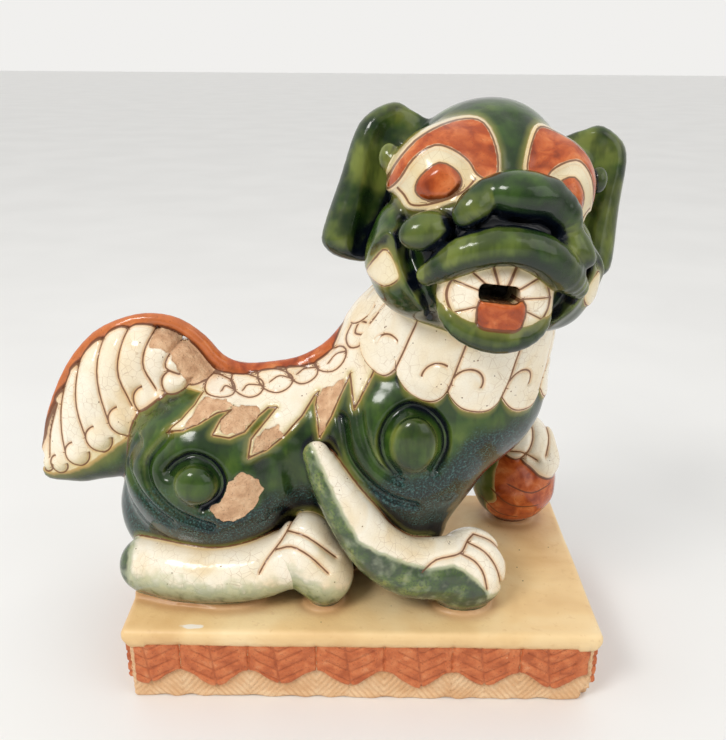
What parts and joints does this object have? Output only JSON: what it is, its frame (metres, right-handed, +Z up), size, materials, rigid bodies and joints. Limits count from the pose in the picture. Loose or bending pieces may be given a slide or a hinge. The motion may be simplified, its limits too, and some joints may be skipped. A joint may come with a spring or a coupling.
{
  "type": "foo dog statue",
  "caption": "Glazed stoneware guardian lion lying on a rectangular plinth, head turned aside, one forepaw on a ball, fan tail, petal relief round the plinth.",
  "frame": {"origin": "middle of the plinth's foot, on the surface that it stands on", "axes": "+X along the plinth from the tail to the chest, +Y away from the side that the face looks to, +Z up"},
  "size_m": [0.2671, 0.1421, 0.2565],
  "materials": {
    "green_glaze": "glossy lead-green glaze, pooling blue-black in hollows and thinning to olive on edges",
    "cream_glaze": "clear glaze over cream slip, finely crackled, brown in the incised lines",
    "amber_glaze": "glossy amber-brown glaze, mottled",
    "petal_glaze": "thin matte orange-brown glaze with dark specks",
    "buff_glaze": "satin buff-yellow glaze with small pinholes",
    "bare_clay": "unglazed combed buff stoneware"
  },
  "bodies": {
    "root": {"plinth_wall": "bare_clay", "plinth_slab": "buff_glaze", "petal_band_front": "petal_glaze", "petal_band_back": "petal_glaze", "petal_band_left": "petal_glaze", "petal_band_right": "petal_glaze", "body_right_half": "green_glaze", "body_left_half": "green_glaze", "spine_ridge": "amber_glaze", "tail": "cream_glaze", "mane_collar": "cream_glaze", "right_haunch_curl": "green_glaze", "left_haunch_curl": "green_glaze", "right_shoulder_curl": "green_glaze", "left_shoulder_curl": "green_glaze", "right_hindleg": "cream_glaze", "left_hindleg": "cream_glaze", "right_hind_paw": "cream_glaze", "left_hind_paw": "cream_glaze", "right_foreleg": "cream_glaze", "left_foreleg": "green_glaze", "right_fore_paw": "cream_glaze", "left_fore_paw": "cream_glaze", "ball": "amber_glaze", "head_front_shell": "green_glaze", "head_back_shell": "green_glaze", "right_ear": "green_glaze", "left_ear": "green_glaze", "right_eye": "cream_glaze", "left_eye": "cream_glaze", "right_pupil": "amber_glaze", "left_pupil": "amber_glaze", "right_brow": "amber_glaze", "left_brow": "amber_glaze", "nose": "green_glaze", "right_muzzle_pad": "green_glaze", "left_muzzle_pad": "green_glaze", "upper_lip": "green_glaze", "lower_lip": "green_glaze", "teeth_ring": "cream_glaze", "tongue": "amber_glaze", "right_fang": "cream_glaze", "left_fang": "cream_glaze"}
  },
  "joints": []
}
